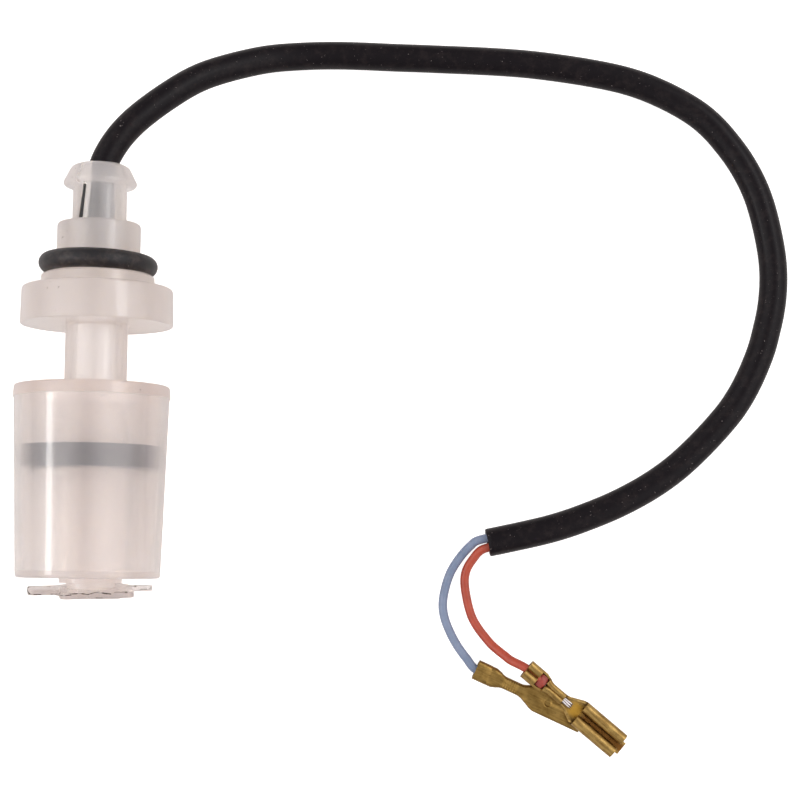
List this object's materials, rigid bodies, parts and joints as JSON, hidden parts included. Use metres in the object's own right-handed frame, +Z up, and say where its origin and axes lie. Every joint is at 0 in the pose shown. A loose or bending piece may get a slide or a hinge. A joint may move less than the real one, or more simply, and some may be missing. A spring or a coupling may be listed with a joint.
{
  "type": "float level switch",
  "caption": "Snap-in float switch: ringed float on a short stem, sealed flange, barbed head and a sleeved two-wire lead with tab receptacles.",
  "frame": {"origin": "centre of the flange's upper face, where the switch beds against its wall, on the stem's axis", "axes": "+Y along the stem towards the snap head and the lead, -Y towards the float, +Z up from the surface that the switch lies on, +X towards the lead's free loop"},
  "size_m": [0.1064, 0.0997, 0.0211],
  "materials": {
    "translucent_body": "natural translucent polypropylene, satin",
    "translucent_float": "natural translucent polypropylene, satin",
    "seal_rubber": "matt black rubber",
    "ferrite": "dark grey sintered ferrite, matt",
    "clip_plastic": "translucent off-white plastic, grimy along its edges",
    "potting": "cast resin",
    "capsule_glass": "clear greenish glass",
    "cushion_rubber": "soft white tubing",
    "reed_metal": "plated nickel-iron",
    "ferrule_brass": "plain brass",
    "blue_insulation": "grey-blue insulation, satin",
    "red_insulation": "orange-red insulation, satin",
    "sleeve_black": "black soft sleeve, satin with fine specks",
    "tinned_strands": "tinned copper strands, bright",
    "terminal_brass": "plain stamped brass, lightly tarnished"
  },
  "bodies": {
    "switch": {"switch_body": "translucent_body", "o_ring": "seal_rubber", "retaining_clip": "clip_plastic", "potting_plug": "potting", "reed_capsule": "capsule_glass", "reed_cushion": "cushion_rubber", "reed_blade_upper": "reed_metal", "reed_blade_lower": "reed_metal", "ferrule_upper": "ferrule_brass", "ferrule_lower": "ferrule_brass", "inner_wire_blue": "blue_insulation", "inner_wire_red": "red_insulation", "lead_sleeve": "sleeve_black", "wire_blue": "blue_insulation", "wire_red": "red_insulation", "strands_blue": "tinned_strands", "strands_red": "tinned_strands", "terminal_blue": "terminal_brass", "terminal_red": "terminal_brass"},
    "magnet": {"ring_magnet": "ferrite"},
    "float": {"float_cup": "translucent_float", "float_lid": "translucent_float"}
  },
  "joints": [
    {"name": "float_slide", "type": "slide", "parent": "switch", "child": "magnet", "axis": [0, 1, 0], "range_m": [-0.0005, 0.0081]},
    {"name": "float_spin", "type": "hinge", "parent": "magnet", "child": "float", "pos_m": [-0.00036, -0.0275, 0.00025], "axis": [0, 1, 0], "continuous": true}
  ]
}
